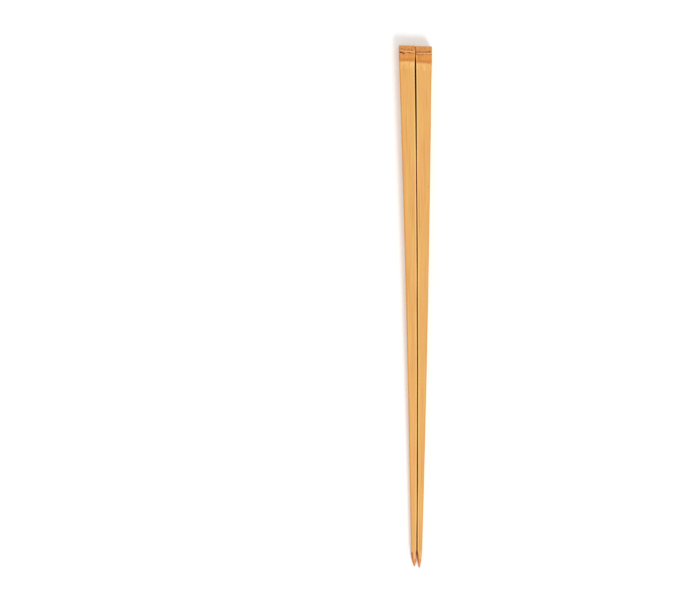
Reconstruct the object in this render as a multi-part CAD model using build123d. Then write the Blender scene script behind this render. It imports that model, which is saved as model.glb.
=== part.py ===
from build123d import *
import os
from math import atan, cos, degrees, sin, sqrt

# Pair of bamboo chopsticks, lying side by side as they rest on a table.
#
# Each stick is one piece of bamboo, split from the culm at a node. The broad end keeps the skin and
# the node of the culm. The rest of the upper face is planed down, and the planing head runs out at
# the skin. The tip is sharpened to a round point, like a pencil.
#
# Units are millimetres. +X goes from the left stick to the right one, +Y goes from the tips to the
# broad ends, and +Z goes up from the table. "Along" is the distance from the broad end of the pair
# towards the tips.

# Lengths, and how far back the broad end of each stick lies
left_length = 239.8
right_length = 240.0
left_setback = 0.0
right_setback = 0.4

# Widths of the planed shaft at the broad end and at the shoulder of the point
left_butt_width = 7.5
left_shoulder_width = 2.7
right_butt_width = 7.6
right_shoulder_width = 2.34

# Thickness of the planed shaft at the broad end and at the shoulder of the point
butt_thickness = 6.15
shoulder_thickness = 2.4

# Seam between the sticks: its sideways bow, the room where the sticks lie against each other, and
# the slit that opens below the nodes and closes further down
seam_bow = 0.6
seam_clearance = 0.1
slit_width = 0.44
slit_start = 3.4
slit_ramp = 6.0
slit_end = 56.0

# Swelling of the broad end on its outer side, and the stretch over which it fades out
node_swell = 0.16
swell_start = 7.5
swell_fade = 11.0

# Places at which the sides are set out: their number, and how much they crowd to the broad end
side_places = 17
side_crowding = 1.8

# Culm that the sticks were split from, the height of its skin above the table, and the planing
# head that runs out there
culm_radius = 46.0
skin_height = 6.5
planer_radius = 16.0

# Skin at the broad end: how far it reaches, and its slant across the stick in degrees
left_skin_length = 7.3
left_skin_slant = 0.4
right_skin_length = 7.8
right_skin_slant = 5.4

# Node: its distance from the broad end of the stick, and its slant in degrees
left_node_distance = 2.6
left_node_slant = 6.2
right_node_distance = 3.1
right_node_slant = 0.3

# Ridge of the node with its room to the sides of the stick, and the scar groove on each side of it
ridge_width = 0.72
ridge_height = 0.2
ridge_inset = 0.2
scar_width = 0.56
scar_depth = 0.11
scar_offset = 0.56

# Saw cut of the broad end, in degrees off square
butt_slant = 1.4

# Rounding of the edge where the planing head left the skin, of the four long edges, and of the edges
# of the saw cut
skin_edge_radius = 1.5
edge_radius = 0.36
butt_radius = 0.18

# Point: its length from shoulder to nose, how much its flanks bulge, its blunt nose, how far the nose
# lies off the middle line towards the seam, and how far the flats above and below close in
point_length = 6.6
point_bulge = 0.1
nose_radius = 0.33
left_nose_shift = 0.38
right_nose_shift = 0.0
flat_drop = 0.75

# Room that a cutting tool has beyond the stock
tool_room = 5.0


def smooth(share):
    """Rise softly from 0 to 1 as share goes from 0 to 1."""
    share = min(max(share, 0.0), 1.0)
    return share * share * (3 - 2 * share)


def seam_x(along):
    """Sideways place of the seam, which bows from end to end."""
    share = along / right_length
    return 4 * seam_bow * share * (1 - share)


def seam_gap(along):
    """Room between the two sticks."""
    opening = smooth((along - slit_start) / slit_ramp)
    closing = 1 - min(max((along - slit_start) / (slit_end - slit_start), 0.0), 1.0) ** 3
    return seam_clearance + (slit_width - seam_clearance) * opening * closing


def swelling(along):
    """How far the outer side stands out at the broad end."""
    return node_swell * (1 - smooth((along - swell_start) / swell_fade))


def stations(start, end):
    """Distances at which a side is set out: close together at the node, further apart below it."""
    shares = [place / (side_places - 1) for place in range(side_places)]
    return [start + (end - start) * share**side_crowding for share in shares]


def long_edges(body):
    """Edges that run the length of the stick."""
    return body.edges().filter_by(lambda edge: abs((edge @ 1 - edge @ 0).normalized().Y) > 0.8)


class Stick:
    """One chopstick. side is -1 for the left stick and +1 for the right one."""

    def __init__(self, side, length, setback, butt_width, shoulder_width, nose_shift):
        self.side = side
        self.butt = setback
        self.tip = setback + length
        self.shoulder = self.tip - point_length
        self.butt_width = butt_width
        self.shoulder_width = shoulder_width
        self.nose_shift = nose_shift

    def width(self, along):
        """Width of the planed shaft, from the seam to the outer side."""
        share = (along - self.butt) / (self.shoulder - self.butt)
        return self.butt_width + (self.shoulder_width - self.butt_width) * share

    def top(self, along):
        """Height of the planed face above the table."""
        share = (along - self.butt) / (self.shoulder - self.butt)
        return butt_thickness + (shoulder_thickness - butt_thickness) * share

    def inner_x(self, along):
        """Sideways place of the side that faces the other stick."""
        return seam_x(along) + self.side * seam_gap(along) / 2

    def outer_x(self, along):
        """Sideways place of the side that faces away from the other stick."""
        return seam_x(along) + self.side * (self.width(along) + swelling(along))

    def middle_x(self, along):
        """Sideways place of the stick's middle line."""
        return (self.inner_x(along) + self.outer_x(along)) / 2

    def place(self, along, slant=0.0, height=0.0):
        """Place on the middle line, turned by a slant."""
        return Pos(self.middle_x(along), -along, height) * Rot(0, 0, -slant)

    def outline(self):
        """Stock seen from above, longer than the stick at both ends."""
        places = stations(self.butt - tool_room, self.tip + tool_room)
        inner = [Vector(self.inner_x(along), -along) for along in places]
        outer = [Vector(self.outer_x(along), -along) for along in places]
        sides = [Spline(*inner), Spline(*outer)]
        ends = [Line(inner[0], outer[0]), Line(inner[-1], outer[-1])]
        return make_face(Wire(sides + ends))

    def strip(self):
        """Strip of the culm under its skin, with the sides and the flat lower face cut."""
        slab = extrude(self.outline(), amount=skin_height)
        culm = Rot(90, 0, 0) * Cylinder(culm_radius, 2 * (self.tip + 2 * tool_room))
        return slab & self.place(self.butt, height=skin_height - culm_radius) * culm

    def planer(self, skin_length, slant):
        """Path of the planing head: along the planed face, with a round run-out at the skin."""
        skin_end = self.butt + skin_length
        step = skin_height - self.top(skin_end)
        tilt = atan((self.top(self.butt) - self.top(self.shoulder)) / (self.shoulder - self.butt))
        depth = step * cos(tilt)
        run_out = sqrt(2 * planer_radius * depth - depth**2) - step * sin(tilt)
        reach = self.tip - self.butt + tool_room
        swept = Rectangle(reach, 2 * planer_radius, align=(Align.MAX, Align.MIN))
        swept += Pos(0, planer_radius) * Circle(planer_radius)
        path = extrude(Plane.YZ * swept, amount=culm_radius, both=True)
        start = self.place(skin_end, slant, self.top(skin_end)) * Rot(degrees(tilt), 0, 0)
        return start * Pos(0, -run_out, 0) * path

    def saw(self):
        """Everything behind the saw cut of the broad end."""
        across = (Align.CENTER, Align.MIN, Align.CENTER)
        waste = Box(culm_radius, 2 * tool_room, culm_radius, align=across)
        return self.place(self.butt, butt_slant) * waste

    def scar_cutter(self, node_distance, slant, offset):
        """Ring round the culm that cuts one scar groove into the skin."""
        section = (scar_width**2 / 4 + scar_depth**2) / (2 * scar_depth)
        ring = Rot(90, 0, 0) * Torus(culm_radius + section - scar_depth, section)
        node = self.place(self.butt + node_distance, slant, skin_height - culm_radius)
        return node * Pos(0, -offset, 0) * ring

    def ridge(self, node_distance, slant):
        """Ridge of the node, cut from a ring round the culm."""
        section = (ridge_width**2 / 4 + ridge_height**2) / (2 * ridge_height)
        ring = Rot(90, 0, 0) * Torus(culm_radius - section + ridge_height, section)
        node = self.place(self.butt + node_distance, slant, skin_height - culm_radius)
        across = Box(self.butt_width - 2 * ridge_inset, culm_radius, skin_height)
        return node * ring & self.place(self.butt + node_distance, 0, skin_height) * across

    def sharpener(self):
        """Everything outside the round point."""
        nose_x = self.middle_x(self.tip) - self.side * self.nose_shift
        nose = Vector(nose_x, -self.tip, self.top(self.tip) / 2)
        root = Vector(self.middle_x(self.shoulder), -self.shoulder, self.top(self.shoulder) / 2)
        half_width = abs(self.outer_x(self.shoulder) - self.inner_x(self.shoulder)) / 2
        run = point_length - nose_radius
        rise = half_width - nose_radius
        lead = 2 * tool_room
        bulge = (nose_radius + run / 2, nose_radius + rise / 2 + point_bulge)
        shoulder = (point_length, half_width)
        lead_end = (point_length + lead, half_width + lead * (rise - 4 * point_bulge) / run)
        far = self.butt_width
        profile = [
            CenterArc((nose_radius, 0), nose_radius, 90, 90),
            Spline((nose_radius, nose_radius), bulge, shoulder, lead_end),
            Polyline((0, 0), (-lead, 0), (-lead, far), (lead_end[0], far), lead_end),
        ]
        axis = (root - nose).normalized()
        side_view = Plane(origin=nose, x_dir=axis, z_dir=axis.cross(Vector(1, 0, 0)))
        return revolve(side_view * make_face(profile), axis=Axis(nose, axis))

    def flat_cutter(self, upward):
        """Everything outside the flat above or below the point."""
        across = (Align.CENTER, Align.MAX, Align.MIN if upward else Align.MAX)
        waste = Box(culm_radius, point_length + tool_room, tool_room, align=across)
        slope = degrees(atan(flat_drop / point_length))
        height = self.top(self.shoulder) if upward else 0.0
        return self.place(self.shoulder, 0, height) * Rot(slope if upward else -slope, 0, 0) * waste

    def build(self, skin_length, skin_slant, node_distance, node_slant):
        """The finished stick, made in the order of the real work."""
        body = self.strip() - self.planer(skin_length, skin_slant) - self.saw()
        skin_end = self.butt + skin_length
        skin_edge = body.edges().sort_by_distance((self.middle_x(skin_end), -skin_end, skin_height))[0]
        body = fillet(skin_edge, skin_edge_radius)
        body = fillet(long_edges(body), edge_radius)
        saw_cut = body.faces().sort_by(Axis.Y)[-1]
        body = fillet(saw_cut.edges(), butt_radius)
        for offset in (-scar_offset, scar_offset):
            body -= self.scar_cutter(node_distance, node_slant, offset)
        body += self.ridge(node_distance, node_slant)
        return body - self.sharpener() - self.flat_cutter(True) - self.flat_cutter(False)


left = Stick(
    -1, left_length, left_setback, left_butt_width, left_shoulder_width, left_nose_shift
)
right = Stick(
    1, right_length, right_setback, right_butt_width, right_shoulder_width, right_nose_shift
)
left_chopstick = left.build(left_skin_length, left_skin_slant, left_node_distance, left_node_slant)
right_chopstick = right.build(
    right_skin_length, right_skin_slant, right_node_distance, right_node_slant
)

# The origin is on the table, under the middle of the pair
pair = Compound([left_chopstick, right_chopstick]).bounding_box()
to_origin = Pos(-pair.center().X, -pair.center().Y, -pair.min.Z)

os.makedirs("parts", exist_ok=True)
export_step(to_origin * left_chopstick, "parts/left_chopstick.step")
export_step(to_origin * right_chopstick, "parts/right_chopstick.step")
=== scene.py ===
from math import pi, radians, tan

import bpy
import numpy as np
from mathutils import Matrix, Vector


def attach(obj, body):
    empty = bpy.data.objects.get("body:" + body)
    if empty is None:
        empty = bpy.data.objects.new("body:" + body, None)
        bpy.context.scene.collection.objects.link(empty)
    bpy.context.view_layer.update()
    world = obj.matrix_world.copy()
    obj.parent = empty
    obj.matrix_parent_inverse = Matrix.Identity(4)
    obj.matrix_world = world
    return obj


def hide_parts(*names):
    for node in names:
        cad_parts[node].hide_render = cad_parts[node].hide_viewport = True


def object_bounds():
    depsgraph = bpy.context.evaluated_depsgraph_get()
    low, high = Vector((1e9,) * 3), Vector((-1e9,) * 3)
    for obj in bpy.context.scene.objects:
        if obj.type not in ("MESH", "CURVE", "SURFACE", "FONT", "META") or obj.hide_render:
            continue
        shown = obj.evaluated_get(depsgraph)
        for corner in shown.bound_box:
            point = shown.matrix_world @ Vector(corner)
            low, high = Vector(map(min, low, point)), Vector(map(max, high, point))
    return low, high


bl_info = {
    "name": "Bamboo chopsticks",
    "version": (1, 0, 0),
    "blender": (4, 5, 0),
    "location": "3D View > Sidebar > Chopsticks",
    "description": "Builds a pair of bamboo chopsticks with the culm's node and skin on their broad ends",
    "category": "Add Mesh",
}

# Places are in metres, in the frame of the packed model: +X from the left stick to the right one, +Y from
# the tips to the broad ends, +Z up from the table. "Along" is the distance from the pair's broad end.
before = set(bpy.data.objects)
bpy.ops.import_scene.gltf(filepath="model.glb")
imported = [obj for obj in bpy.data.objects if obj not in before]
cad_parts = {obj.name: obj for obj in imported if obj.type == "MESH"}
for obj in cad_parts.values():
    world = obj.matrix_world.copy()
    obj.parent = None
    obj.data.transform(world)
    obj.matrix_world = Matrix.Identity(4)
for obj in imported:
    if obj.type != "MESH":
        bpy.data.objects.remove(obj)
cad_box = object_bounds()
MILLIMETRE = 0.001


def length(name, description, millimetres):
    """Property for a length."""
    return bpy.props.FloatProperty(
        name=name,
        description=description,
        default=millimetres * MILLIMETRE,
        unit="LENGTH",
        precision=5,
    )


def angle(name, description, degrees):
    """Property for an angle."""
    return bpy.props.FloatProperty(
        name=name, description=description, default=radians(degrees), subtype="ANGLE"
    )


def number(name, description, default):
    """Property for a number without a unit."""
    return bpy.props.FloatProperty(name=name, description=description, default=default)


def colour(name, description, red, green, blue):
    """Property for a colour, from its screen values of 0 to 255."""
    shares = [value / 255 for value in (red, green, blue)]
    linear = [s / 12.92 if s <= 0.04045 else ((s + 0.055) / 1.055) ** 2.4 for s in shares]
    return bpy.props.FloatVectorProperty(
        name=name, description=description, default=linear, size=3, subtype="COLOR"
    )


class LeftStickSizes(bpy.types.PropertyGroup):
    """Sizes of the left stick."""

    length: length("Length", "From the saw cut to the nose", 239.8)
    setback: length("Setback", "How far its broad end lies behind that of the pair", 0.0)
    butt_width: length("Broad end", "Width of the shaft at the broad end", 7.5)
    node_swell: length("Swelling", "How far the outer side stands out at the node", 0.0)
    shoulder_width: length("Shoulder", "Width of the shaft where the point begins", 2.7)
    skin_length: length("Skin", "How far the culm's skin reaches from the broad end", 7.3)
    skin_slant: angle("Skin slant", "Slant of the skin's edge across the stick", 0.4)
    node_distance: length("Node", "Distance of the node from the broad end", 2.6)
    node_slant: angle("Node slant", "Slant of the node across the stick", 4.6)
    nose_shift: length("Nose shift", "How far the nose lies off the middle line towards the seam", 0.22)
    point_bulge: length("Point bulge", "How far the flanks of the point bulge", 0.24)
    # The dark flank is painted shade on the side of the point that faces away from the lamp
    flank_start: number("Dark flank", "Where the dark flank begins, from 0 on top to 1 at the side", 0.05)
    flank_reach: length("Flank reach", "How far from the nose the dark flank reaches", 7.2)
    toast_reach: length("Toast reach", "How far from the nose the toasted wood reaches", 4.6)
    toast_fade: length("Toast fade", "Length over which the toasted wood fades out", 4.0)
    point_shade: length("Point shade", "How much wider the shade beside the seam is at the point", 0.22)
    skin_blur: length("Skin blur", "Half the width over which the colour of the skin fades out", 0.12)


class RightStickSizes(bpy.types.PropertyGroup):
    """Sizes of the right stick."""

    length: length("Length", "From the saw cut to the nose", 240.0)
    setback: length("Setback", "How far its broad end lies behind that of the pair", 0.4)
    butt_width: length("Broad end", "Width of the shaft at the broad end", 7.6)
    node_swell: length("Swelling", "How far the outer side stands out at the node", 0.16)
    shoulder_width: length("Shoulder", "Width of the shaft where the point begins", 2.34)
    skin_length: length("Skin", "How far the culm's skin reaches from the broad end", 7.8)
    skin_slant: angle("Skin slant", "Slant of the skin's edge across the stick", 5.4)
    node_distance: length("Node", "Distance of the node from the broad end", 3.1)
    node_slant: angle("Node slant", "Slant of the node across the stick", 0.3)
    nose_shift: length("Nose shift", "How far the nose lies off the middle line towards the seam", 0.0)
    point_bulge: length("Point bulge", "How far the flanks of the point bulge", 0.1)
    # The dark flank is painted shade on the side of the point that faces away from the lamp
    flank_start: number("Dark flank", "Where the dark flank begins, from 0 on top to 1 at the side", 0.2)
    flank_reach: length("Flank reach", "How far from the nose the dark flank reaches", 6.6)
    toast_reach: length("Toast reach", "How far from the nose the toasted wood reaches", 5.4)
    toast_fade: length("Toast fade", "Length over which the toasted wood fades out", 1.8)
    point_shade: length("Point shade", "How much wider the shade beside the seam is at the point", 0.0)
    skin_blur: length("Skin blur", "Half the width over which the colour of the skin fades out", 0.65)


class PairSizes(bpy.types.PropertyGroup):
    """Sizes that both sticks share."""

    butt_thickness: length("Broad end", "Thickness of the planed shaft at the broad end", 6.15)
    shoulder_thickness: length("Shoulder", "Thickness of the planed shaft where the point begins", 2.4)
    skin_height: length("Skin height", "Height of the culm's skin above the table", 6.5)
    culm_radius: length("Culm", "Radius of the culm that the sticks were split from", 46.0)
    planer_radius: length("Planing head", "Radius of the planing head's run-out at the skin", 16.0)
    seam_bow: length("Seam bow", "How far the seam bows sideways between its ends", 0.6)
    seam_clearance: length("Seam clearance", "Room where the sticks lie against each other", 0.1)
    slit_width: length("Slit", "Width of the slit that opens below the nodes", 0.44)
    slit_start: length("Slit start", "Where the slit begins, from the broad end", 3.4)
    slit_ramp: length("Slit ramp", "Length over which the slit opens", 6.0)
    slit_end: length("Slit end", "Where the slit has closed again", 56.0)
    swell_start: length("Swelling end", "Where the swelling begins to fade out, from the broad end", 7.5)
    swell_fade: length("Swelling fade", "Length over which the swelling fades out", 11.0)
    ridge_width: length("Ridge width", "Width of the node's ridge", 0.72)
    ridge_height: length("Ridge height", "Height of the node's ridge above the skin", 0.2)
    scar_width: length("Scar width", "Width of the groove on each side of the ridge", 0.56)
    scar_depth: length("Scar depth", "Depth of the groove on each side of the ridge", 0.11)
    edge_radius: length("Long edges", "Rounding of the four long edges", 0.36)
    butt_radius: length("Saw cut", "Rounding of the saw cut's edges", 0.18)
    butt_slant: angle("Saw slant", "How far the saw cut is off square", 1.4)
    point_length: length("Point", "Length of the sharpened point", 6.6)
    nose_radius: length("Nose", "Radius of the blunt nose", 0.33)
    flat_drop: length("Flats", "How far the flats of the point close in from shoulder to nose", 0.75)
    fibre_relief: length("Fibre relief", "Height of the fibres that stand out of the faces", 0.012)


class BambooColours(bpy.types.PropertyGroup):
    """Colours of the bamboo."""

    planed: colour("Planed", "Planed faces", 235, 176, 95)
    peach: colour("Peach streaks", "Redder fibres of the planed faces", 240, 168, 98)
    straw: colour("Straw streaks", "Greener fibres of the planed faces", 231, 184, 95)
    fibre: colour("Dark fibres", "Darkest fibres of the planed faces", 206, 132, 58)
    pale_edge: colour("Pale edge", "Fresh edges along the slit", 255, 206, 120)
    # Painted shade on the rounded outer edges
    outer_edge_shade: colour("Outer edge", "Darker edges on the outer sides", 224, 146, 62)
    # Painted shade for the sides that face each other, where shade falls between the sticks
    painted_slit_shade: colour("Slit wall", "Shaded sides along the open slit", 66, 28, 10)
    painted_seam_shade: colour("Seam wall", "Shaded sides where the sticks lie against each other", 140, 58, 10)
    side: colour("Sides", "Split and sawn side faces", 229, 166, 88)
    side_dark: colour("Side under the skin", "Dense fibres of the sides, close to the skin", 206, 134, 60)
    underside: colour("Underside", "Pale inner side of the culm", 241, 190, 116)
    skin: colour("Skin", "Skin of the culm", 227, 149, 66)
    skin_dark: colour("Skin edge", "Darker band at the edge of the skin", 208, 124, 52)
    skin_above: colour("Skin above the node", "Skin between the saw cut and the node", 215, 141, 70)
    skin_side: colour("Skin beside the seam", "Lighter strip of skin along the seam", 246, 176, 84)
    ridge: colour("Ridge", "Pale ridge of the node", 228, 180, 118)
    scar: colour("Scars", "Brown grooves beside the ridge", 168, 94, 38)
    stain: colour("Stains", "Brown stains at the node", 158, 76, 12)
    pit: colour("Pits", "Darkest pits at the node", 44, 14, 2)
    point_flat: colour("Point flats", "Flats of the sharpened point", 244, 188, 126)
    toast: colour("Toasted point", "Warmer wood of the sharpened point", 218, 126, 56)
    # Painted shade on the flanks of the point that face away from the lamp, darker than the toasted wood
    painted_flank_shade: colour("Dark flanks", "Burnished flanks of the point", 184, 84, 10)
    end_grain: colour("End grain", "Saw cut of the broad end", 226, 176, 106)
    end_rind: colour("Rind", "Denser ring under the skin in the saw cut", 206, 142, 70)
    end_bundle: colour("Fibre bundles", "Ends of the fibre bundles in the saw cut", 146, 86, 38)


class StageSettings(bpy.types.PropertyGroup):
    """Light, floor and camera."""

    floor: colour("Floor", "Colour of the floor", 255, 255, 255)
    floor_glow: number("Floor glow", "How much brighter the camera sees the floor", 0.12)
    # The floor under the slit gets no glow: painted shade seen through the slit
    slit_room: length("Slit room", "Half width of the floor without glow, under the slit", 1.5)
    slit_tips: length("Slit tips", "Length at the tips where the floor has its glow again", 8.2)
    sky_light: number("Sky light", "Strength of the even light from all sides", 0.69)
    key_light: number("Key light", "Strength of the lamp", 1.42)
    key_softness: angle("Key softness", "How wide the lamp is, seen from the sticks", 22.0)
    key_elevation: angle("Key elevation", "Height of the lamp above the table", 42.5)
    key_direction: angle("Key direction", "Turn of the lamp from +X towards +Y", -65.0)
    camera_x: length("Camera X", "Sideways place of the camera", -30.42)
    camera_y: length("Camera Y", "Lengthwise place of the camera", 1.85)
    camera_height: length("Camera height", "Height of the camera above the table", 898.6)
    camera_roll: angle("Camera roll", "Turn of the camera about its line of sight", -0.22)
    camera_lens: number("Lens", "Focal length of the camera in millimetres", 100.0)


# Pits and stains at the node of the left stick (-1) and the right one (1), and a faint spot on the shaft of
# the right one. The first four numbers are millimetres: distance from the line between the seam's ends,
# distance from the ridge towards the tip, half width and half length. The last number is the darkness: the
# wood is brown from about 0.1 up and black from about 0.9 up.
STAINS = {
    -1: [
        (6.6, 0.7, 0.55, 0.3, 2.2),
        (5.95, 0.9, 0.4, 0.2, 0.75),
        (5.4, 1.15, 0.45, 0.28, 1.5),
        (2.5, 0.7, 0.8, 0.26, 0.74),
        (1.0, 0.75, 0.5, 0.2, 0.55),
        (6.2, -0.92, 0.7, 0.2, 0.6),
        (5.0, -0.6, 0.6, 0.2, 0.6),
        (4.6, -1.4, 0.7, 0.16, 0.45),
        (2.9, -1.0, 0.6, 0.24, 0.65),
        (1.6, -0.8, 0.5, 0.24, 0.6),
        (0.05, -1.75, 0.4, 0.6, 0.7),
        (0.0, 0.9, 0.3, 1.0, 0.3),
    ],
    1: [
        (6.5, -0.56, 0.55, 0.34, 1.1),
        (5.1, -0.4, 1.2, 0.3, 0.74),
        (3.5, -0.4, 1.2, 0.28, 0.7),
        (1.9, -0.4, 1.2, 0.3, 0.74),
        (0.2, -0.3, 0.55, 1.3, 0.72),
        (3.4, 0.62, 0.6, 0.16, 0.6),
        (1.9, 0.6, 0.8, 0.14, 0.4),
        (5.95, 61.4, 0.65, 0.4, 0.27),
    ],
}

# Depth of a stain or a pit for a darkness of 1
PIT_DEPTH = 0.0001

# Unevenness. A stray is how far a line or a face strays from its even course, and a wave is the spacing of
# that unevenness across the stick. A long wave is its spacing along the stick.
RIDGE_STRAY, RIDGE_WAVE = 0.00005, 0.0021
SKIN_STRAY, SKIN_WAVE = 0.00006, 0.0016
SURFACE_STRAY, SURFACE_WAVE, SURFACE_LONG_WAVE = 0.000012, 0.0017, 0.0024
FIBRE_WAVE, FIBRE_LONG_WAVE = 0.0008, 0.06

# Height of the ridge and depth of the scars as shares of their sizes: mean, stray and wave
CREST_SHARE, CREST_STRAY, CREST_WAVE = 0.86, 0.14, 0.0013
SCAR_SHARE, SCAR_STRAY, SCAR_WAVE = 0.75, 0.35, 0.0011

# Seeds of the random draws behind that unevenness
RIDGE_SEED, SKIN_SEED, SURFACE_SEED, CREST_SEED, SCAR_SEED, FIBRE_SEED = 11, 23, 31, 41, 51, 61

# The humps of the ridge and the scars run out softly, and are wider than their arcs by these factors
RIDGE_SPREAD, SCAR_SPREAD = 1.25, 1.2

# Room between the ridge and the sides of the stick, and the length over which the ridge rises beside it
RIDGE_INSET, RIDGE_RISE = 0.0001, 0.0005

# How far round the planing head its run-out goes, as a share of its radius
RUN_OUT_SHARE = 0.9

# Where the fibres begin to stand out, from the saw cut, and the length over which they rise
RELIEF_START, RELIEF_RISE = 0.001, 0.004

# The fibres lie closer by that factor on the sides than on the upper face
SIDE_FIBRES = 1.3

# Length over which the slant of the saw cut fades out of the rings
SAW_FADE = 0.008

# How steeply the sharpening runs out above the shoulder of the point, and how far up it can reach
LEAD_SLOPE, LEAD_LENGTH = 0.22, 0.01

# Size of the round passage between the planed face and the skin, and between the faces of the point
SKIN_PASSAGE, POINT_PASSAGE = 0.00002, 0.00003

# The painted shade of the dark flanks comes in over that depth under the cut, and that share of the turn
FLANK_BLUR, FLANK_TURN = 0.0001, 0.45

# Stretches with closer rings, at the broad end and above the shoulder of the point
NODE_STRETCH, POINT_STRETCH = 0.0118, 0.006

# Rings on the saw cut's rounding, the node, the shaft, the point and the nose, each with both its ends
CUT_RINGS, NODE_RINGS, SHAFT_RINGS, POINT_RINGS, NOSE_RINGS = 7, 176, 284, 112, 9

# Sizes of the rings in the saw cut, as shares of its outline
CAP_SHARES = (0.02, 0.15, 0.3, 0.45, 0.6, 0.72, 0.83, 0.91, 0.96, 0.99)

# Steps of a ring: over the lower face, a side, the upper face and the rounding of a long edge
LOWER_STEPS, SIDE_STEPS, UPPER_STEPS, EDGE_STEPS = 26, 18, 58, 7


def smooth(share):
    """Rise softly from 0 to 1 as share goes from 0 to 1."""
    share = np.clip(share, 0.0, 1.0)
    return share * share * (3 - 2 * share)


def hump(share):
    """Round hump, 1 in its middle and 0 from -1 down and from 1 up."""
    return np.cos(np.clip(share, -1.0, 1.0) * pi / 2) ** 2


def lower(first, second, blend):
    """The lower of two heights, with a round passage of that size between them."""
    share = np.clip(0.5 + (second - first) / (2 * blend), 0.0, 1.0)
    return second + (first - second) * share - blend * share * (1 - share)


def waves(place, spacing, seed):
    """Uneven waves between about -1 and 1, about that spacing apart. seed picks the random draws."""
    random = np.random.default_rng(seed)
    total = np.zeros_like(np.asarray(place, dtype=float))
    for octave in range(5):
        pitch = spacing * random.uniform(0.6, 1.9)
        total += np.sin(2 * pi * (place / pitch + random.uniform())) / 2.2
    return total / 1.5


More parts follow.
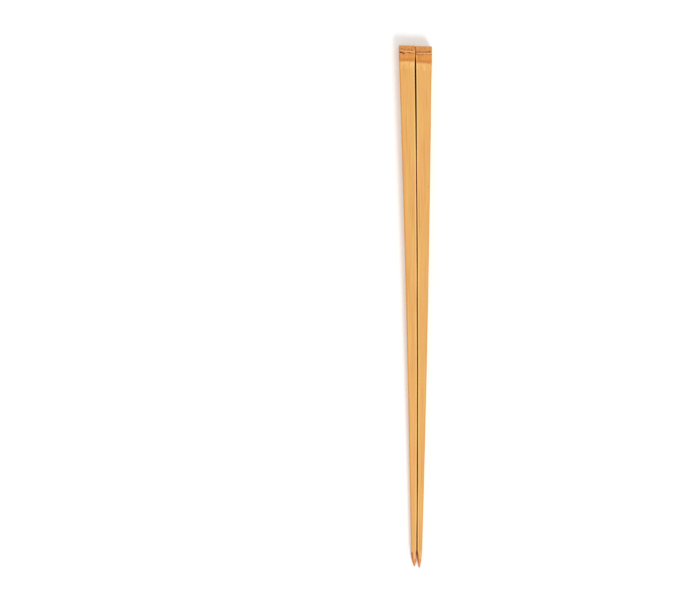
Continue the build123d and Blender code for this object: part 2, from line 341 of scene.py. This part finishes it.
class StickShape:
    """Shape of one stick. side is -1 for the left one and +1 for the right one."""

    def __init__(self, side, sizes, pair, pair_length):
        self.side = side
        self.sizes = sizes
        self.pair = pair
        self.pair_length = pair_length
        self.butt = sizes.setback
        self.tip = sizes.setback + sizes.length
        self.shoulder = self.tip - pair.point_length
        self.butt_middle = float(self.middle_x(self.butt))
        self.nose_x = self.middle_x(self.tip) - side * sizes.nose_shift

    def seam_x(self, along):
        """Sideways place of the seam between the sticks."""
        share = along / self.pair_length
        return 4 * self.pair.seam_bow * share * (1 - share)

    def seam_gap(self, along):
        """Room between the sticks."""
        pair = self.pair
        opening = smooth((along - pair.slit_start) / pair.slit_ramp)
        closing = 1 - np.clip((along - pair.slit_start) / (pair.slit_end - pair.slit_start), 0, 1) ** 3
        return pair.seam_clearance + (pair.slit_width - pair.seam_clearance) * opening * closing

    def share_along(self, along):
        """0 at the broad end, 1 at the shoulder."""
        return (along - self.butt) / (self.shoulder - self.butt)

    def inner_x(self, along):
        """Sideways place of the side that faces the other stick."""
        return self.seam_x(along) + self.side * self.seam_gap(along) / 2

    def outer_x(self, along):
        """Sideways place of the side that faces away from the other stick."""
        sizes = self.sizes
        width = sizes.butt_width + (sizes.shoulder_width - sizes.butt_width) * self.share_along(along)
        fade = smooth((along - self.pair.swell_start) / self.pair.swell_fade)
        return self.seam_x(along) + self.side * (width + sizes.node_swell * (1 - fade))

    def middle_x(self, along):
        """Sideways place of the stick's middle line."""
        return (self.inner_x(along) + self.outer_x(along)) / 2

    def planed_height(self, along):
        """Height of the planed face."""
        change = self.pair.shoulder_thickness - self.pair.butt_thickness
        return self.pair.butt_thickness + change * self.share_along(along)

    def node_offset(self, x, along):
        """Distance from the middle of the node's ridge, positive towards the tip."""
        sizes = self.sizes
        drift = tan(sizes.node_slant) * (x - self.butt_middle)
        wobble = RIDGE_STRAY * waves(x, RIDGE_WAVE, RIDGE_SEED + self.side)
        return along - self.butt - sizes.node_distance - drift - wobble

    def skin_offset(self, x, along):
        """Distance from the edge of the skin, positive towards the tip."""
        sizes = self.sizes
        drift = tan(sizes.skin_slant) * (x - self.butt_middle)
        wobble = SKIN_STRAY * waves(x, SKIN_WAVE, SKIN_SEED + self.side)
        return along - self.butt - sizes.skin_length - drift - wobble

    def top_height(self, x, along):
        """Height of the upper face: the skin with its node, cut away by the planing head."""
        pair = self.pair
        skin = pair.skin_height - (x - self.butt_middle) ** 2 / (2 * pair.culm_radius)
        uneven_across = waves(x, SURFACE_WAVE, SURFACE_SEED)
        uneven_along = waves(along, SURFACE_LONG_WAVE, SURFACE_SEED + 1)
        skin = skin + SURFACE_STRAY * uneven_across * uneven_along
        node = self.node_offset(x, along)
        inset = np.minimum(abs(x - self.inner_x(along)), abs(x - self.outer_x(along)))
        across = smooth((inset - RIDGE_INSET) / RIDGE_RISE)
        crest = CREST_SHARE + CREST_STRAY * waves(x, CREST_WAVE, CREST_SEED + self.side)
        ridge = hump(2 * node / (RIDGE_SPREAD * pair.ridge_width))
        skin = skin + pair.ridge_height * crest * across * ridge
        for direction in (-1, 1):
            middle = direction * (pair.ridge_width + pair.scar_width / 2) / 2
            share = SCAR_SHARE + SCAR_STRAY * waves(x, SCAR_WAVE, SCAR_SEED + direction + self.side)
            groove = hump(2 * (node - middle) / (SCAR_SPREAD * pair.scar_width))
            skin = skin - pair.scar_depth * share * groove
        skin = skin - PIT_DEPTH * self.stains(x, along)
        edge = self.butt + self.sizes.skin_length
        step = pair.skin_height - self.planed_height(edge)
        run_out = np.sqrt(2 * pair.planer_radius * step - step**2)
        longest = RUN_OUT_SHARE * pair.planer_radius
        reach = np.clip(run_out - self.skin_offset(x, along), 0.0, longest)
        lift = pair.planer_radius - np.sqrt(pair.planer_radius**2 - reach**2)
        return lower(self.planed_height(along) + lift, skin, SKIN_PASSAGE)

    def stains(self, x, along):
        """How dark the pits and stains are, from 0 beside them."""
        node = self.node_offset(x, along)
        from_seam = self.side * x
        total = np.zeros_like(x + along)
        for seam_distance, node_distance, half_width, half_length, darkness in STAINS[self.side]:
            across = (from_seam - seam_distance * MILLIMETRE) / (half_width * MILLIMETRE)
            lengthwise = (node - node_distance * MILLIMETRE) / (half_length * MILLIMETRE)
            total = np.maximum(total, darkness * np.exp(-(across**2) - lengthwise**2))
        return total

    def point_radius(self, from_nose):
        """Radius of the sharpened point."""
        pair = self.pair
        nose = pair.nose_radius
        half_width = abs(self.outer_x(self.shoulder) - self.inner_x(self.shoulder)) / 2
        run = pair.point_length - nose
        rise = half_width - nose
        share = (from_nose - nose) / run
        bulge = 4 * self.sizes.point_bulge
        flank = nose + rise * np.minimum(share, 1) + bulge * share * np.clip(1 - share, 0, 1)
        flank = flank + LEAD_SLOPE * run * np.clip(share - 1, 0, None)
        cap = np.sqrt(np.clip(nose**2 - (nose - from_nose) ** 2, 0, None))
        return np.where(from_nose < nose, cap, flank)

    def stations(self):
        """Distances along the stick at which a ring is set: close at the node and at the point."""
        pair = self.pair
        cut = pair.butt_radius * (1 - np.cos(np.linspace(0, pi / 2, CUT_RINGS)))
        node = np.linspace(pair.butt_radius, NODE_STRETCH, NODE_RINGS)[1:]
        shaft_end = self.shoulder - POINT_STRETCH
        shaft = np.linspace(NODE_STRETCH, shaft_end - self.butt, SHAFT_RINGS)[1:]
        nose_start = self.tip - pair.nose_radius
        point = np.linspace(shaft_end, nose_start, POINT_RINGS)[1:] - self.butt
        turn = np.linspace(0, pi / 2, NOSE_RINGS)[1:-1]
        nose = nose_start - self.butt + pair.nose_radius * np.sin(turn)
        return self.butt + np.concatenate([cut, node, shaft, point, nose])

    def ring(self):
        """One turn round the stick: share across, share up, and the outward direction at each place."""
        edge = [step * pi / 2 / EDGE_STEPS for step in range(1, EDGE_STEPS)]
        turn = []
        turn += [(share, 0.0, -pi / 2) for share in np.linspace(0, 1, LOWER_STEPS + 1)]
        turn += [(1.0, 0.0, -pi / 2 + bend) for bend in edge]
        turn += [(1.0, share, 0.0) for share in np.linspace(0, 1, SIDE_STEPS + 1)]
        turn += [(1.0, 1.0, bend) for bend in edge]
        turn += [(1 - share, 1.0, pi / 2) for share in np.linspace(0, 1, UPPER_STEPS + 1)]
        turn += [(0.0, 1.0, pi / 2 + bend) for bend in edge]
        turn += [(0.0, 1 - share, pi) for share in np.linspace(0, 1, SIDE_STEPS + 1)]
        turn += [(0.0, 0.0, pi + bend) for bend in edge]
        across, up, direction = np.array(turn).T
        return across, up, np.cos(direction), np.sin(direction)

    def section(self, along):
        """Places of one ring, as sideways, along and height."""
        pair = self.pair
        across, up, out_x, out_z = self.ring()
        from_butt = along - self.butt
        left_x = min(self.inner_x(along), self.outer_x(along))
        right_x = max(self.inner_x(along), self.outer_x(along))
        radius = pair.edge_radius
        inset = 0.0
        if from_butt < pair.butt_radius:
            inset = pair.butt_radius - np.sqrt(pair.butt_radius**2 - (pair.butt_radius - from_butt) ** 2)
        relief = pair.fibre_relief * smooth((from_butt - RELIEF_START) / RELIEF_RISE)
        x = left_x + radius + across * (right_x - left_x - 2 * radius)
        x = x + (radius - inset) * out_x
        cut_slant = tan(pair.butt_slant) * (x - self.butt_middle) * (1 - smooth(from_butt / SAW_FADE))
        here = along + cut_slant
        top = self.top_height(x, here)
        z = radius + up * (top - 2 * radius) + (radius - inset) * out_z
        lean = (self.seam_gap(along) - pair.seam_clearance) / 2 * (1 - z / top)
        x = x - self.side * lean * (across if self.side < 0 else 1 - across)
        girth = x + SIDE_FIBRES * z
        fibres = waves(girth, FIBRE_WAVE, FIBRE_SEED + self.side)
        fibres = fibres * (1 + 0.3 * waves(here, FIBRE_LONG_WAVE, FIBRE_SEED + 1))
        x = x + relief * fibres * out_x
        z = z + relief * fibres * np.clip(out_z, 0, 1)
        return x, here, z

    def sharpened(self, along, x, z):
        """Draw a ring in to the round point with its two flats. Says too how much painted shade each place
        of the flank away from the lamp gets.
        """
        pair = self.pair
        share = (along - self.shoulder) / pair.point_length
        tip_z = self.planed_height(self.tip) / 2
        shoulder_x = self.middle_x(self.shoulder)
        shoulder_z = self.planed_height(self.shoulder) / 2
        middle_x = shoulder_x + (self.nose_x - shoulder_x) * share if share > 0 else self.middle_x(along)
        middle_z = shoulder_z + (tip_z - shoulder_z) * share
        reach = np.hypot(x - middle_x, z - middle_z)
        radius = self.point_radius(self.tip - along)
        kept = lower(reach, np.full_like(reach, radius), POINT_PASSAGE) / reach
        if self.tip - along < 2 * pair.nose_radius:
            kept = radius / reach
        leftward = (middle_x - x) / reach
        # Painted shade on the flank that faces away from the lamp, on the left
        flank_shade = smooth((reach - radius) / FLANK_BLUR + 1)
        flank_shade = flank_shade * smooth((leftward - self.sizes.flank_start) / FLANK_TURN)
        x = middle_x + (x - middle_x) * kept
        z = middle_z + (z - middle_z) * kept
        drop = pair.flat_drop * max(share, 0.0)
        z = lower(z, self.planed_height(min(along, self.shoulder)) - drop, POINT_PASSAGE)
        if share > 0:
            z = -lower(-z, -drop, POINT_PASSAGE)
        return x, z, flank_shade

    def rings(self):
        """All rings from the middle of the saw cut to the nose, with their facts for the material."""
        found = []
        for along in self.stations():
            x, here, z = self.section(along)
            flank_shade = np.zeros_like(x)
            if along > self.shoulder - LEAD_LENGTH:
                x, z, flank_shade = self.sharpened(along, x, z)
            found.append((x, here, z, np.zeros_like(x), flank_shade))
        x, here, z = found[0][:3]
        middle_z = self.pair.skin_height / 2
        cap = []
        for share in CAP_SHARES:
            cap_x = self.butt_middle + (x - self.butt_middle) * share
            cap_z = middle_z + (z - middle_z) * share
            cap_along = self.butt + tan(self.pair.butt_slant) * (cap_x - self.butt_middle)
            cap.append((cap_x, cap_along, cap_z, np.ones_like(x), np.zeros_like(x)))
        return cap + found


def stick_mesh(name, shape, origin_x, origin_y):
    """Closed mesh of a stick, with what the material has to know stored on its vertices."""
    rings = shape.rings()
    count = len(rings[0][0])
    ends = np.array([
        [shape.butt_middle, shape.butt, shape.pair.skin_height / 2, 1.0, 0.0],
        [shape.nose_x, shape.tip, shape.planed_height(shape.tip) / 2, 0.0, 0.0],
    ])
    columns = [np.concatenate([ring[part] for ring in rings]) for part in range(5)]
    x, along, z, end, flank_shade = (np.append(column, ends[:, part]) for part, column in enumerate(columns))
    step = np.arange(count)
    following = (step + 1) % count
    faces = []
    for ring in range(len(rings) - 1):
        first, second = ring * count, (ring + 1) * count
        quads = np.stack([first + step, first + following, second + following, second + step], axis=1)
        faces.extend(quads.tolist())
    last = (len(rings) - 1) * count
    centre, nose = len(x) - 2, len(x) - 1
    pairs = list(zip(step.tolist(), following.tolist()))
    faces.extend([centre, after, before] for before, after in pairs)
    faces.extend([last + before, last + after, nose] for before, after in pairs)
    mesh = bpy.data.meshes.new(name)
    mesh.from_pydata(np.stack([x + origin_x, origin_y - along, z], axis=1).tolist(), [], faces)
    mesh.polygons.foreach_set("use_smooth", [True] * len(mesh.polygons))
    top = shape.top_height(x, along)
    edge_blur = 0.6 * shape.pair.edge_radius
    facts = {
        "from_nose": (shape.tip - along) / MILLIMETRE,
        "from_node": shape.node_offset(x, along) / MILLIMETRE,
        "from_skin": shape.skin_offset(x, along) / MILLIMETRE,
        "from_inner": abs(x - shape.inner_x(along)) / MILLIMETRE,
        "from_outer": abs(x - shape.outer_x(along)) / MILLIMETRE,
        "below_top": (top - z) / MILLIMETRE,
        "upper": smooth((z - top + shape.pair.edge_radius) / edge_blur),
        "under": 1 - smooth(z / edge_blur),
        "end": end,
        "flank_shade": flank_shade,
        "stain": shape.stains(x, along),
    }
    for key, values in facts.items():
        layer = mesh.attributes.new(key, "FLOAT", "POINT")
        layer.data.foreach_set("value", values.astype(np.float32))
    mesh.validate()
    return mesh


class Shade:
    """A socket of a shader node. Arithmetic with it adds the nodes that work it out."""

    def __init__(self, tree, socket=None):
        self.tree = tree
        self.socket = socket

    def node(self, kind, settings=None, inputs=None, output=0):
        """Add a node: first its settings, then the values or links of its sockets."""
        added = self.tree.nodes.new(kind)
        for name, value in (settings or {}).items():
            setattr(added, name, value)
        for name, value in (inputs or {}).items():
            if isinstance(value, Shade):
                self.tree.links.new(value.socket, added.inputs[name])
            else:
                added.inputs[name].default_value = value
        return Shade(self.tree, added.outputs[output])

    def math(self, operation, first, second):
        return self.node("ShaderNodeMath", {"operation": operation}, {0: first, 1: second})

    def __add__(self, other):
        return self.math("ADD", self, other)

    def __radd__(self, other):
        return self.math("ADD", other, self)

    def __sub__(self, other):
        return self.math("SUBTRACT", self, other)

    def __rsub__(self, other):
        return self.math("SUBTRACT", other, self)

    def __mul__(self, other):
        return self.math("MULTIPLY", self, other)

    def __rmul__(self, other):
        return self.math("MULTIPLY", other, self)

    def rise(self, start, end):
        """0 up to start and 1 from end on, with a soft step between them."""
        inputs = {"Value": self, "From Min": start, "From Max": end}
        return self.node("ShaderNodeMapRange", {"interpolation_type": "SMOOTHSTEP"}, inputs)

    def band(self, start, end, blur):
        """1 between start and end, fading out over the blur on both sides."""
        return self.rise(start - blur, start + blur) * (1 - self.rise(end - blur, end + blur))

    def stretched(self, x, y, z):
        """Coordinates multiplied along each axis: how often a texture repeats in a metre."""
        return self.node("ShaderNodeVectorMath", {"operation": "MULTIPLY"}, {0: self, 1: (x, y, z)})

    def fibres(self, across, along):
        """Coordinates that repeat so often in a metre across the stick, and so often along it."""
        return self.stretched(across, along, across)

    def noise(self, detail=2.0, roughness=0.5):
        """Soft noise at these coordinates, about 0.5."""
        inputs = {"Vector": self, "Scale": 1.0, "Detail": detail, "Roughness": roughness}
        return self.node("ShaderNodeTexNoise", {"noise_dimensions": "3D"}, inputs)

    def mix(self, under, over, share):
        """One colour with a share of another laid over it."""
        inputs = {0: share}
        for place, tint in ((6, under), (7, over)):
            inputs[place] = tint if isinstance(tint, Shade) else (*tint, 1.0)
        return self.node("ShaderNodeMix", {"data_type": "RGBA"}, inputs, output=2)

    def fact(self, name):
        """What the mesh stores under that name. Lengths are in millimetres."""
        return self.node("ShaderNodeAttribute", {"attribute_name": name}, output="Fac")


def planed_bamboo(shades, grain, colours):
    """Colour of the planed shaft: long fibres of slightly different tones."""
    broad = grain.fibres(1000, 9).noise(2.0).rise(0.4, 0.6)
    green = grain.fibres(1500, 12).noise(1.0).rise(0.5, 0.68)
    bright = grain.fibres(1900, 20).noise(2.0).rise(0.52, 0.7)
    fine = grain.fibres(3000, 34).noise(3.0, 0.6).rise(0.5, 0.7)
    streak = grain.fibres(1700, 22).noise(2.0).rise(0.56, 0.72)
    tone = shades.mix(colours.planed, colours.peach, broad * 0.6)
    tone = shades.mix(tone, colours.straw, green * 0.6)
    tone = shades.mix(tone, colours.pale_edge, bright * 0.32)
    tone = shades.mix(tone, colours.fibre, fine * 0.34)
    return shades.mix(tone, colours.fibre, streak * 0.46)


def skin_bamboo(shades, grain, colours):
    """Colour of the culm's skin with its node."""
    from_node = shades.fact("from_node")
    from_skin = shades.fact("from_skin")
    fibres = grain.fibres(2200, 120).noise(3.0, 0.6)
    blotches = grain.fibres(900, 1500).noise(3.0, 0.6)
    mottle = grain.fibres(1300, 700).noise(2.0)
    tone = shades.mix(colours.skin, colours.skin_dark, fibres.rise(0.45, 0.7) * 0.5)
    tone = shades.mix(tone, colours.skin_above, (1 - from_node.rise(-0.7, 0.0)) * 0.85)
    tone = shades.mix(tone, colours.skin_side, mottle.rise(0.5, 0.72) * 0.5)
    tone = shades.mix(tone, colours.skin_dark, (1 - mottle.rise(0.3, 0.48)) * 0.5)
    rim = from_skin.band(-1.4, -0.3, 0.3) * mottle.rise(0.3, 0.5)
    tone = shades.mix(tone, colours.skin_dark, rim * 0.8)
    scars = from_node.band(-0.75, -0.3, 0.12) * blotches.rise(0.4, 0.6) * 0.8
    scars = scars + from_node.band(0.38, 0.85, 0.14) * blotches.rise(0.34, 0.62)
    tone = shades.mix(tone, colours.scar, scars * 0.8)
    crest = from_node.band(-0.2, 0.26, 0.1) * (0.35 + 0.55 * blotches.rise(0.36, 0.56))
    tone = shades.mix(tone, colours.ridge, crest)
    strip = (1 - shades.fact("from_inner").rise(0.45, 0.75)) * from_node.rise(-1.8, -0.8)
    return shades.mix(tone, colours.skin_side, strip * 0.8)


def side_bamboo(shades, grain, colours, planed):
    """Colour of the split sides: long fibres, denser and darker towards the skin."""
    lines = grain.stretched(900, 9, 2700).noise(3.0, 0.6)
    broad = grain.stretched(500, 5, 900).noise(2.0)
    tone = shades.mix(planed, colours.side, 0.55)
    tone = shades.mix(tone, colours.side_dark, (1 - shades.fact("below_top").rise(0.2, 3.0)) * 0.5)
    tone = shades.mix(tone, colours.underside, broad.rise(0.48, 0.66) * 0.5)
    tone = shades.mix(tone, colours.fibre, lines.rise(0.48, 0.66) * 0.5)
    return shades.mix(tone, colours.pale_edge, (1 - lines.rise(0.3, 0.44)) * 0.4)


def under_bamboo(shades, grain, colours):
    """Colour of the flat lower face: pale inner wood with thin, widely spaced fibres."""
    lines = grain.stretched(2600, 11, 0).noise(3.0, 0.6)
    broad = grain.stretched(700, 6, 0).noise(2.0)
    tone = shades.mix(colours.underside, colours.side, broad.rise(0.42, 0.64) * 0.7)
    tone = shades.mix(tone, colours.fibre, lines.rise(0.5, 0.68) * 0.5)
    return shades.mix(tone, colours.pale_edge, (1 - lines.rise(0.32, 0.45)) * 0.35)


def paint_seam_shade(shades, colours, sizes, tone):
    """Painted shade on the sides that face each other, laid over the other colours: darkest along the open
    slit.
    """
    from_skin = shades.fact("from_skin")
    below_skin = from_skin.rise(-4.0, -1.5)
    slit = below_skin * (1 - from_skin.rise(14.0, 42.0))
    closed = from_skin.rise(44.0, 56.0)
    depth = shades.fact("below_top") * (1 + 2.2 * closed)
    from_nose = shades.fact("from_nose")
    wider = (1 - from_nose.rise(5.0, 8.0)) * (sizes.point_shade / MILLIMETRE)
    # Painted shade, deeper under the top along the closed seam and wider at the point
    seam = (1 - (shades.fact("from_inner") - wider).rise(0.3, 0.45)) * depth.rise(0.0, 0.1)
    seam = seam * (0.15 + 0.85 * below_skin) * from_nose.rise(3.5, 6.5)
    return shades.mix(tone, shades.mix(colours.painted_seam_shade, colours.painted_slit_shade, slit), seam)


def cut_bamboo(shades, grain, colours):
    """Colour of the saw cut: fibre bundles, fine and close under the skin, coarse and sparse below."""
    below_top = shades.fact("below_top")
    clouds = grain.fibres(700, 0).noise(3.0)
    scratches = grain.stretched(5200, 0, 420).noise(2.0)
    tone = shades.mix(colours.end_grain, colours.end_rind, (1 - below_top.rise(0.1, 2.2)) * 0.75)
    uneven = clouds.rise(0.45, 0.7) * 0.35 + scratches.rise(0.5, 0.72) * 0.3
    tone = shades.mix(tone, colours.end_rind, uneven)
    under_skin = 1 - below_top.rise(1.2, 2.6)
    for per_metre, radius, share in ((3500, 0.3, under_skin), (1750, 0.26, 1 - under_skin)):
        inputs = {"Vector": grain.fibres(per_metre, 0), "Scale": 1.0, "Randomness": 0.8}
        bundle = 1 - shades.node("ShaderNodeTexVoronoi", inputs=inputs).rise(radius - 0.12, radius)
        tone = shades.mix(tone, colours.end_bundle, bundle * share * 0.8)
    return tone


def point_bamboo(shades, grain, colours, sizes, tone):
    """Colour of the sharpened point, laid over that of the shaft, with painted shade on the flank away from
    the lamp.
    """
    from_nose, flank_shade = shades.fact("from_nose"), shades.fact("flank_shade")
    toast_start = (sizes.toast_reach - sizes.toast_fade) / MILLIMETRE
    toast_end = sizes.toast_reach / MILLIMETRE
    flank_end = sizes.flank_reach / MILLIMETRE
    patches = grain.fibres(900, 300).noise(2.0)
    tone = shades.mix(tone, colours.point_flat, (1 - from_nose.rise(4.0, 9.0)) * 0.7)
    tone = shades.mix(tone, colours.toast, (1 - from_nose.rise(toast_start, toast_end)) * 0.7)
    tone = shades.mix(tone, colours.toast, patches.rise(0.46, 0.6) * (1 - from_nose.rise(4.5, 7.5)) * 0.7)
    # Painted shade on the flank away from the lamp, in a darker toasted colour
    flank = flank_shade * from_nose.rise(0.3, 4.2) * (1 - from_nose.rise(flank_end - 1.0, flank_end))
    return shades.mix(tone, colours.painted_flank_shade, flank * 0.85)


def bamboo(name, colours, sizes):
    """Material of a stick. Each layer of colour lies over the ones before it."""
    material = bpy.data.materials.new(name)
    material.use_nodes = True
    tree = material.node_tree
    shader = tree.nodes["Principled BSDF"]
    shades = Shade(tree)
    grain = shades.node("ShaderNodeTexCoord", output="Object")
    upper, under, end = (shades.fact(key) for key in ("upper", "under", "end"))
    from_inner, from_outer = shades.fact("from_inner"), shades.fact("from_outer")
    from_skin = shades.fact("from_skin")
    ragged = grain.fibres(3400, 3400).noise(2.0)
    stain = shades.fact("stain") * (0.5 + ragged)
    planed = planed_bamboo(shades, grain, colours)
    chatter = grain.fibres(1500, 260).noise(2.0).rise(0.5, 0.66)
    marks = from_skin.band(0.1, 3.4, 0.5) * chatter
    tone = shades.mix(planed, colours.pale_edge, (1 - from_inner.rise(0.5, 0.95)) * 0.8)
    # Painted shade on the rounded outer edges
    tone = shades.mix(tone, colours.outer_edge_shade, (1 - from_outer.rise(0.3, 0.7)) * 0.55)
    tone = shades.mix(tone, colours.pale_edge, marks * 0.45)
    tone = shades.mix(tone, colours.ridge, from_skin.band(-0.2, 0.4, 0.3) * 0.25)
    tone = shades.mix(side_bamboo(shades, grain, colours, planed), tone, upper)
    tone = shades.mix(tone, under_bamboo(shades, grain, colours), under)
    blur = sizes.skin_blur / MILLIMETRE
    on_skin = (1 - (from_skin - 0.12).rise(-blur, blur)) * upper
    tone = shades.mix(tone, skin_bamboo(shades, grain, colours), on_skin)
    tone = shades.mix(tone, colours.stain, stain.rise(0.08, 0.5) * upper * 0.8)
    tone = shades.mix(tone, colours.pit, stain.rise(0.55, 0.95) * upper * 0.9)
    tone = point_bamboo(shades, grain, colours, sizes, tone)
    tone = paint_seam_shade(shades, colours, sizes, tone)
    tone = shades.mix(tone, cut_bamboo(shades, grain, colours), end)
    fine = grain.fibres(4200, 40).noise(3.0, 0.65)
    relief = shades.node("ShaderNodeBump", inputs={"Strength": 0.35, "Distance": 0.00004, "Height": fine})
    roughness = 0.5 + fine * 0.16 - on_skin * 0.1
    tree.links.new(tone.socket, shader.inputs["Base Color"])
    tree.links.new(roughness.socket, shader.inputs["Roughness"])
    tree.links.new(relief.socket, shader.inputs["Normal"])
    return material


class CHOPSTICKS_OT_add_stick(bpy.types.Operator):
    """Build one stick in place of the packed model's plain one"""

    bl_idname = "chopsticks.add_stick"
    bl_label = "Add stick"
    bl_options = {"REGISTER", "UNDO"}

    side: bpy.props.EnumProperty(
        name="Side",
        description="Which of the two sticks to build",
        items=[("left", "Left", "The left stick"), ("right", "Right", "The right stick")],
    )

    def execute(self, context):
        scene = context.scene
        pair, pair_length = scene.stick_pair, scene.right_stick.length
        shapes = {
            "left": StickShape(-1, scene.left_stick, pair, pair_length),
            "right": StickShape(1, scene.right_stick, pair, pair_length),
        }
        node = self.side + "_chopstick"
        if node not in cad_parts:
            raise RuntimeError("the packed model has no " + node)
        right = shapes["right"]
        # The shapes are set out from the pair's broad end, and the packed model's box says where that is
        origin_x = cad_box[1][0] - right.outer_x(right.butt + pair.butt_radius)
        origin_y = cad_box[0][1] + right.tip
        mesh = stick_mesh(self.side + "_stick", shapes[self.side], origin_x, origin_y)
        stick = bpy.data.objects.new(self.side + "_stick", mesh)
        scene.collection.objects.link(stick)
        sizes = shapes[self.side].sizes
        mesh.materials.append(bamboo(self.side + "_bamboo", scene.bamboo_colours, sizes))
        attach(stick, "root")
        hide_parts(node)
        return {"FINISHED"}


class CHOPSTICKS_OT_add_stage(bpy.types.Operator):
    """Build the floor, the light and the camera"""

    bl_idname = "chopsticks.add_stage"
    bl_label = "Add stage"
    bl_options = {"REGISTER", "UNDO"}

    def execute(self, context):
        scene = context.scene
        stage = scene.stick_stage
        self.add_floor(scene, stage)
        self.add_light(scene, stage)
        self.add_camera(scene, stage)
        scene.view_settings.view_transform = "Standard"
        return {"FINISHED"}

    def add_floor(self, scene, stage):
        half, depth = 3.0, 0.00002
        corners = [(x, y, -depth) for x, y in ((-half, -half), (half, -half), (half, half), (-half, half))]
        mesh = bpy.data.meshes.new("floor")
        mesh.from_pydata(corners, [], [(0, 1, 2, 3)])
        material = bpy.data.materials.new("floor")
        material.use_nodes = True
        tree = material.node_tree
        shader = tree.nodes["Principled BSDF"]
        shader.inputs["Base Color"].default_value = (*stage.floor, 1.0)
        shader.inputs["Roughness"].default_value = 1.0
        shader.inputs["Specular IOR Level"].default_value = 0.0
        shades = Shade(tree)
        place = shades.node("ShaderNodeTexCoord", output="Object")
        x, y = (shades.node("ShaderNodeSeparateXYZ", inputs={0: place}, output=axis) for axis in "XY")
        room, blur = stage.slit_room, MILLIMETRE / 2
        tips, butts = cad_box[0][1] + stage.slit_tips, cad_box[1][1] - MILLIMETRE
        # Painted shade: the floor under the slit between the sticks gets no glow
        slit_shade_mask = x.band(-room, room, blur) * y.band(tips, butts, MILLIMETRE)
        seen = shades.node("ShaderNodeLightPath", output="Is Camera Ray")
        glow = seen * (1 - slit_shade_mask) * stage.floor_glow
        tree.links.new(glow.socket, shader.inputs["Emission Color"])
        shader.inputs["Emission Strength"].default_value = 1.0
        mesh.materials.append(material)
        floor = bpy.data.objects.new("floor", mesh)
        scene.collection.objects.link(floor)

    def add_light(self, scene, stage):
        world = bpy.data.worlds.new("studio")
        world.use_nodes = True
        tree = world.node_tree
        shades = Shade(tree)
        seen = shades.node("ShaderNodeLightPath", output="Is Camera Ray")
        strength = stage.sky_light + (1 - stage.sky_light) * seen
        background = tree.nodes["Background"]
        background.inputs["Color"].default_value = (1.0, 1.0, 1.0, 1.0)
        tree.links.new(strength.socket, background.inputs["Strength"])
        scene.world = world
        lamp = bpy.data.lights.new("key", "SUN")
        lamp.energy = stage.key_light
        lamp.angle = stage.key_softness
        key = bpy.data.objects.new("key", lamp)
        key.rotation_euler = (0.0, pi / 2 - stage.key_elevation, stage.key_direction)
        scene.collection.objects.link(key)

    def add_camera(self, scene, stage):
        lens = bpy.data.cameras.new("camera")
        lens.lens = stage.camera_lens
        lens.sensor_width = 36.0
        camera = bpy.data.objects.new("camera", lens)
        camera.location = (stage.camera_x, stage.camera_y, stage.camera_height)
        camera.rotation_euler = (0.0, 0.0, stage.camera_roll)
        scene.collection.objects.link(camera)
        scene.camera = camera


class CHOPSTICKS_PT_panel(bpy.types.Panel):
    """Sizes, colours and buttons of the chopsticks"""

    bl_idname = "CHOPSTICKS_PT_panel"
    bl_label = "Chopsticks"
    bl_space_type = "VIEW_3D"
    bl_region_type = "UI"
    bl_category = "Chopsticks"

    def draw(self, context):
        layout = self.layout
        scene = context.scene
        for side in ("left", "right"):
            button = layout.operator(CHOPSTICKS_OT_add_stick.bl_idname, text="Add " + side + " stick")
            button.side = side
        layout.operator(CHOPSTICKS_OT_add_stage.bl_idname)
        for key, kind in GROUPS.items():
            box = layout.box()
            box.label(text=kind.__doc__)
            for name in kind.__annotations__:
                box.prop(getattr(scene, key), name)


GROUPS = {
    "left_stick": LeftStickSizes,
    "right_stick": RightStickSizes,
    "stick_pair": PairSizes,
    "bamboo_colours": BambooColours,
    "stick_stage": StageSettings,
}
CLASSES = (*GROUPS.values(), CHOPSTICKS_OT_add_stick, CHOPSTICKS_OT_add_stage, CHOPSTICKS_PT_panel)


def register():
    for kind in CLASSES:
        bpy.utils.register_class(kind)
    for key, kind in GROUPS.items():
        setattr(bpy.types.Scene, key, bpy.props.PointerProperty(type=kind))


def unregister():
    for key in GROUPS:
        delattr(bpy.types.Scene, key)
    for kind in reversed(CLASSES):
        bpy.utils.unregister_class(kind)


def main():
    register()
    bpy.ops.chopsticks.add_stick(side="left")
    bpy.ops.chopsticks.add_stick(side="right")
    bpy.ops.chopsticks.add_stage()


if __name__ == "__main__":
    main()
